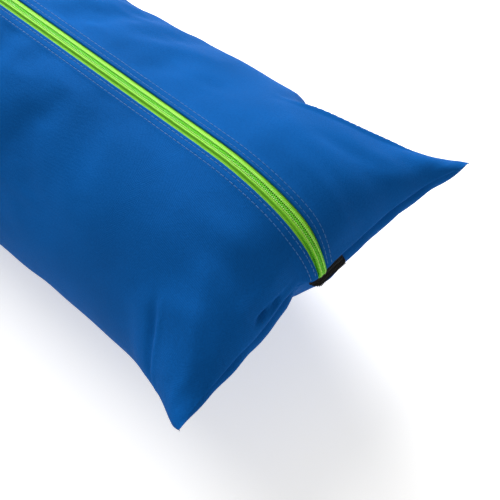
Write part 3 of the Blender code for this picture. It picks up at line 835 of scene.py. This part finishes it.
for where, sign in ENDS:
    for side, sx in (("left", -1.0), ("right", 1.0)):
        tag = "%s_%s" % (where, side)
        stands_for = ["coil_" + side, "coil_" + tag]
        shift = 0.5 * PITCH if side == "left" else 0.0
        run = sign * np.arange(0.25 * PITCH + shift, ZIP_END, PITCH)
        y = over_top(run)[0]
        spread = sx * slider_spread(y)
        teeth = repeat_piece("teeth_" + tag, tooth,
                             frames_on_top(run, sx * 0.00160 + spread, 0.00030), [green_coil])
        bend_open(teeth)
        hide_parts(*stands_for)
        threads = turned(frames_on_top(run, sx * 0.00178 + spread, 0.00132))
        sewn = repeat_piece("coil_sewing_" + tag, loop_thread, threads, [green_thread])
        cord = zip_sheet("chain_cord_" + tag, sx, where, CORD_X, CORD_H, green_cord, 0.0003, 0.0)
        bend_open(cord)
        bend_open(sewn)
        tape = zip_sheet("zip_tape_" + tag, sx, where, TAPE_X, TAPE_H, green_tape, 0.0006, 0.003)
        bend_open(tape)
        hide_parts("tape_" + side, "tape_" + tag)


def along_column(col, rows, pitch, start, stop, side):
    """Stitch frames along one column of the cloth grid."""
    p = np.stack([GX[rows, col], GY[rows, col], GZ[rows, col]], -1)
    if p[0, 1] < -0.1 and abs(p[-1, 1]) < 1e-3:
        p = p[::-1]
    run = runs_of(p)
    at = np.arange(start, run[-1] - stop, pitch)
    pos = columns_at(at, run, p)
    along = unit(columns_at(at + 0.001, run, p) - pos)
    slope = math.atan2(abs(pos[0, 0]), HALF_W * 1.05) * side
    across = np.stack([np.full(len(at), math.cos(slope)), np.zeros(len(at)),
                       np.full(len(at), -math.sin(slope))], -1)
    up = unit(np.cross(across, along))
    up *= np.sign(up[:, 2:3])
    return frames_of(along, np.cross(up, along), up, pos + up * 0.00018)


for where, rows in HALVES.items():
    for side, (cols, sx) in SIDES.items():
        base = cols.start if side == "right" else cols.stop - 1
        step = 1 if side == "right" else -1
        picks = [base + step * NEAR_EDGE.index(row) for row in ROW_X]
        rowset = [along_column(c, rows, 0.0041, 0.0012 + 0.0017 * k, 0.008, sx)
                  for k, c in enumerate(picks)]
        line = repeat_piece("topstitch_%s_%s" % (where, side), stitch, np.concatenate(rowset),
                            [blue_thread])
        bend_open(line)


# ---- webbing -----------------------------------------------------------------------------
def strap_grid(points, across, out, half, count=11):
    """Rows of points across a strap; its edges turn down a little. All arrays are (n, 3)."""
    k = np.linspace(-1.0, 1.0, count)[None, :, None]
    drop = 0.00035 * np.abs(k) ** 8
    return points[:, None, :] + across[:, None, :] * k * half - out[:, None, :] * drop


def thicken(ob, thick):
    """Give a sheet its thickness, behind its face."""
    mod = ob.modifiers.new("cloth", "SOLIDIFY")
    mod.thickness, mod.offset, mod.use_even_offset = thick, -1.0, False
    bpy.ops.object.modifier_apply(modifier="cloth")


def round_edges(ob, width):
    """Round the edges of webbing and shade it smoothly."""
    edge = ob.modifiers.new("edge", "BEVEL")
    edge.width, edge.segments, edge.limit_method = width, 3, "ANGLE"
    edge.angle_limit = math.radians(50)
    bpy.ops.object.modifier_apply(modifier="edge")
    bpy.ops.object.shade_smooth_by_angle(angle=math.radians(45))


def strap_piece(name, grid, run, half, thick, mat):
    """Webbing with its thickness behind the given face and its edges rounded."""
    width = np.linspace(-half, half, grid.shape[1])[None, :] * np.ones((len(run), 1))
    ob = sheet_piece(name, grid[..., 0], grid[..., 1], grid[..., 2], width,
                     np.repeat(run[:, None], grid.shape[1], 1), [mat])
    thicken(ob, thick)
    round_edges(ob, 0.0006)
    return ob


def stitch_frames(path, out, pitch, inset=0.0):
    """Stitch frames along a path of (n, 3) points with outward directions."""
    run = runs_of(path)
    at = np.arange(inset + pitch * 0.5, run[-1] - inset, pitch)
    pos, up = columns_at(at, run, path), columns_at(at, run, out)
    along = unit(columns_at(at + 0.0005, run, path) - columns_at(at - 0.0005, run, path))
    up = unit(up - along * np.sum(up * along, axis=1, keepdims=True))
    return frames_of(along, np.cross(up, along), up, pos)


def box_stitch(at, out, along, across, half_a, half_b, pitch=0.0034):
    """Frames of a sewn box with a cross in it."""
    corner = [at + along * i * half_a + across * j * half_b
              for i, j in ((-1, -1), (1, -1), (1, 1), (-1, 1))]
    loops = [(0, 1), (1, 2), (2, 3), (3, 0), (0, 2), (1, 3)]
    rows = []
    for i, j in loops:
        path = np.linspace(corner[i], corner[j], 20)
        rows.append(stitch_frames(path, np.repeat(out[None, :], 20, 0), pitch, 0.0004))
    return np.concatenate(rows)


Y_AXIS = np.array([0.0, 1.0, 0.0])
for where, sign in ENDS:
    turn = np.concatenate([np.arange(BAND_T, 179.0, 2.2), [180.0]])
    turn = np.concatenate([turn, 360.0 - turn[-2::-1]])
    low = (turn > 90.0) & (turn < 270.0)
    tt = np.radians(turn)
    x, yy, z = shell_points(np.full(len(tt), BAND_Y * sign), np.sin(tt), low)
    face = np.stack([x, yy, z], -1)
    out = unit(np.cross(np.gradient(face, axis=0), Y_AXIS))
    if out[0, 0] < 0:
        out = -out
    face = face - out * 0.00005
    face[:, 2] = np.maximum(face[:, 2], 0.0001)
    grid = strap_grid(face, np.repeat(Y_AXIS[None, :], len(face), 0), out, WEB_HALF)
    strap = strap_piece("band_webbing_" + where, grid, runs_of(face), WEB_HALF, WEB_T - 0.0002,
                        black_web)
    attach(strap, "case")
    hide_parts("band_" + where)
    rows = []
    for k in (-1.0, 1.0):
        edge_path = face + Y_AXIS * k * (WEB_HALF - 0.0028) + out * 0.00012
        rows.append(stitch_frames(edge_path, out, THREAD_PITCH, 0.003))
    for end in (0, -1):
        step = 5 if end == 0 else -6
        o = out[step]
        along = unit(face[step] - face[end])
        along = unit(along - o * np.dot(along, o))
        rows.append(box_stitch(face[step] + o * 0.00015, o, along, Y_AXIS, 0.0105, 0.0145))
    sewn = repeat_piece("band_stitching_" + where, stitch, np.concatenate(rows), [black_thread])
    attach(sewn, "case")


def side_x(z):
    return HALF_W * np.sqrt(1.0 - (np.clip(z - MID_Z, 0.0, None) / SEMI_Z) ** 2)


def handle_line(steps):
    """Centre line of a hanging handle, evenly spaced: (y, z) and its direction."""
    a = math.pi * (1.0 - np.linspace(0.0, 1.0, 1601))
    c, s_ = np.cos(a), np.sin(a)
    p = np.stack([-BAND_Y * np.sign(c) * np.abs(c) ** 0.62, HANDLE_Z - HANDLE_DROP * np.abs(s_) ** 0.62],
                 -1)
    run = runs_of(p)
    at = np.linspace(0.0, run[-1], steps + 1)
    q = columns_at(at, run, p)
    d = unit(np.gradient(q, axis=0))
    d[0], d[-1] = (0.0, -1.0), (0.0, 1.0)
    return q, d, at


def handle_pieces(word, side):
    body = "handle_" + word
    q, d, run = handle_line(150)
    half = WEB_HALF - 0.001
    k = np.linspace(-1.0, 1.0, 11)[None, :]
    yy = q[:, 0:1] - d[:, 1:2] * half * k
    zz = np.minimum(q[:, 1:2] + d[:, 0:1] * half * k, HANDLE_Z)
    xx = side * (side_x(zz) + 0.0009 + WEB_T - 0.0003 * np.abs(k) ** 8)
    width = np.repeat(k * half, len(q), 0)
    grid = np.stack([xx, yy, zz], -1)
    ob = sheet_piece("handle_webbing_" + word, xx, yy, zz, width, np.repeat(run[:, None], 11, 1),
                     [black_web])
    if np.dot(ob.data.polygons[700].normal, (side, 0, 0)) < 0:
        turn_over(ob)
    thicken(ob, WEB_T - 0.0001)
    round_edges(ob, 0.0005)
    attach(ob, body)
    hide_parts("handle_" + word)
    # rows of thread along both edges, and tacks across both ends
    outward_side = np.array([side, 0.0, 0.0])
    outs = np.repeat(outward_side[None, :], len(q), 0)
    rows = []
    for col in (1, 9):
        path = grid[:, col] + outs * 0.00012
        rows.append(stitch_frames(path, outs, THREAD_PITCH, 0.004))
    for end in (2, 5, -3, -6):
        path = np.linspace(grid[end, 1], grid[end, 9], 12) + outs[:12] * 0.00015
        rows.append(stitch_frames(path, outs[:12], 0.0033, 0.0))
    keep = np.concatenate(rows)
    keep = keep[np.abs(keep[:, 1, 3]) > GRIP_HALF + 0.004]      # none under the wrap
    sewn = repeat_piece("handle_stitching_" + word, stitch, keep, [black_thread])
    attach(sewn, body)
    # padded wrap: a flat tube closed on itself
    pick = np.abs(q[:, 0]) < GRIP_HALF
    qc, dc, rc = q[pick], d[pick], run[pick]
    fine = np.linspace(rc[0], rc[-1], 90)
    qc, dc = columns_at(fine, rc, qc), unit(columns_at(fine, rc, dc))
    ang = 2.0 * math.pi * np.arange(GRIP_SIDES) / GRIP_SIDES
    c, s_ = np.cos(ang), np.sin(ang)
    outer_u = 0.0230 * np.sign(c) * np.abs(c) ** 0.55
    outer_v = 0.0056 * np.sign(s_) * np.abs(s_) ** 0.75
    inner_u = 0.0199 * np.sign(c) * np.abs(c) ** 0.25
    inner_v = 0.0017 * np.sign(s_) * np.abs(s_) ** 0.25
    n = len(fine)
    pos = (fine - fine[0]) / (fine[-1] - fine[0])
    soft = 1.0 + 0.035 * np.sin(pos * math.pi) + 0.012 * np.sin(pos * 31.0)
    hem = 0.10 * hump(pos, 0.045, 0.012) + 0.10 * hump(pos, 0.955, 0.012)
    close = 0.30 * (1.0 - smooth_step(pos, 0.0, 0.022)) + 0.30 * smooth_step(pos, 0.978, 1.0)
    rings = []
    around = runs_of(np.stack([outer_u, outer_v], -1))
    for m in range(n):
        f = soft[m] * (1.0 - hem[m]) * (1.0 - close[m])
        rings.append((m, outer_u * (1.0 - close[m] * 0.35) * (1.0 - 0.15 * hem[m]), outer_v * f))
    for m in range(n - 1, -1, -1):
        rings.append((m, inner_u, inner_v))
    mid = side * (HALF_W + 0.0009 + WEB_T / 2)
    tube = np.array([[(mid + vv, qc[m, 0] - dc[m, 1] * uu, qc[m, 1] + dc[m, 0] * uu)
                      for uu, vv in zip(ru, rv)] for m, ru, rv in rings])
    wrap = grid_object("grip_wrap_" + word, tube[..., 0], tube[..., 1], tube[..., 2],
                       np.repeat(around[None, :], 2 * n, 0),
                       np.repeat(np.append(fine, fine[::-1])[:, None], GRIP_SIDES, 1), closed=True)
    wrap.data.materials.append(wrap_cloth)
    turn_over(wrap, outward=True)
    bpy.ops.object.shade_smooth_by_angle(angle=math.radians(50))
    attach(wrap, body)
    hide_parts("grip_" + word)
    rows = []
    for k_at in (0.045, 0.955):
        m = int(round(k_at * (n - 1)))
        path = tube[m][1:27] if side > 0 else tube[m][29:55]
        rows.append(stitch_frames(path + outward_side * 0.0001, outs[:len(path)], 0.0036, 0.001))
    seam_col = 7 if side > 0 else 49
    path = tube[3:n - 3, seam_col] + outward_side * 0.0002
    rows.append(stitch_frames(path, outs[:len(path)], 0.0036, 0.0))
    sewn = repeat_piece("grip_stitching_" + word, stitch, np.concatenate(rows), [black_thread])
    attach(sewn, body)


handle_pieces("left", -1.0)
handle_pieces("right", 1.0)


def end_tab(word, sign):
    """A ribbed ribbon folded over the end seam where the zipper stops."""
    cols, prof = 150, 25
    half, shift, lean = 0.0166, 0.0063, math.radians(-46.0)
    u = np.linspace(-1.0, 1.0, cols)[:, None]
    f = np.linspace(0.0, 1.0, prof)[None, :]
    across = -sign * (u * half + shift)
    end_in = smooth_step(np.abs(u), 0.93, 1.0)
    inner_end = 1.0 - smooth_step(u, -1.02, -0.58)
    thick = 0.0034 * (1.0 + 0.35 * hump(u, -0.86, 0.16)) * (1.0 - 0.35 * end_in)
    reach = 0.0100 * (1.0 - 0.10 * end_in) * (1.0 - 0.62 * inner_end)
    rib = 0.00034 * np.sin(2.0 * math.pi * across / RIB_PITCH)
    c, s_ = np.cos(math.pi * f), np.sin(math.pi * f)
    loop_y = reach * s_ ** 0.55 + rib * s_
    loop_z = thick * c * (1.0 + 0.25 * s_) + rib * c
    px = np.repeat(across, prof, 1)
    py = sign * (0.5082 + loop_y * math.cos(lean) + 0.62 * loop_z * math.sin(lean))
    pz = 0.1516 - 0.0008 * u ** 2 + loop_y * math.sin(lean) + loop_z * math.cos(lean)
    ob = sheet_piece("tab_ribbon_" + word, px, py, pz, np.repeat(f * 0.016, cols, 0), px,
                     [black_ribbon])
    if np.dot(ob.data.polygons[0].normal, (0, 0, 1)) < 0:
        turn_over(ob)
    thicken(ob, RIBBON_T)
    bpy.ops.object.shade_smooth_by_angle(angle=math.radians(50))
    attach(ob, "case")
    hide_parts("end_tab_" + word)


end_tab("near", -1.0)
end_tab("far", 1.0)
for spare in (tooth, loop_thread, stitch):
    bpy.data.objects.remove(spare, do_unlink=True)

# ---- sliders and pulls keep their cast shape, with softened edges ------------------------
for word in ("near", "far"):
    for part, width in (("slider_", 0.00045), ("pull_", 0.00030)):
        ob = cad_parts[part + word]
        for slot in ob.material_slots:
            slot.material = slider_metal
        mod = ob.modifiers.new("edge", "BEVEL")
        mod.width, mod.segments, mod.limit_method = width, 2, "ANGLE"
        mod.angle_limit = math.radians(35)


# ---- camera, floor and light -----------------------------------------------------------
def camera():
    az, el, roll = (math.radians(v) for v in (-46.46, 54.0, -0.74))
    look = -Vector((math.sin(az) * math.cos(el), -math.cos(az) * math.cos(el), math.sin(el)))
    right = Vector((math.cos(az), math.sin(az), 0.0))
    up = right.cross(look)
    r = right * math.cos(roll) + up * math.sin(roll)
    u = up * math.cos(roll) - right * math.sin(roll)
    m = Matrix((r, u, -look)).transposed().to_4x4()
    m.translation = Vector((-0.320, -0.749, 0.723))
    data = bpy.data.cameras.new("camera")
    data.sensor_width, data.lens = 36.0, 73.368
    data.clip_start, data.clip_end = 0.01, 50.0
    cam = bpy.data.objects.new("camera", data)
    scene.collection.objects.link(cam)
    cam.matrix_world = m
    scene.camera = cam


def area_light(name, place, target, size, power):
    data = bpy.data.lights.new(name, "AREA")
    data.shape, data.size, data.energy = "DISK", size, power
    ob = bpy.data.objects.new(name, data)
    scene.collection.objects.link(ob)
    ob.location = place
    ob.rotation_euler = (Vector(target) - Vector(place)).to_track_quat("-Z", "Y").to_euler()


camera()
clear_selection()
bpy.ops.mesh.primitive_plane_add(size=14.0, location=(0, 0, -0.0004))
floor = named("floor")
floor_look = Shader("studio_floor", (0.868, 0.862, 0.850), 0.9, spec=0.1)
floor_look.main.inputs["Emission Color"].default_value = (1.0, 0.985, 0.95, 1.0)
floor_look.main.inputs["Emission Strength"].default_value = 0.51
floor.data.materials.append(floor_look.mat)
world = bpy.data.worlds.new("studio")
scene.world = world
world.use_nodes = True
world.node_tree.nodes["Background"].inputs[0].default_value = (1.0, 1.0, 1.0, 1.0)
world.node_tree.nodes["Background"].inputs[1].default_value = 0.42
area_light("key", (1.5, 1.7, 1.6), (0, -0.35, 0.1), 1.5, 124.0)
area_light("top", (0.1, 1.3, 2.2), (0, -0.2, 0.1), 2.0, 44.0)
scene.view_settings.view_transform = "Standard"
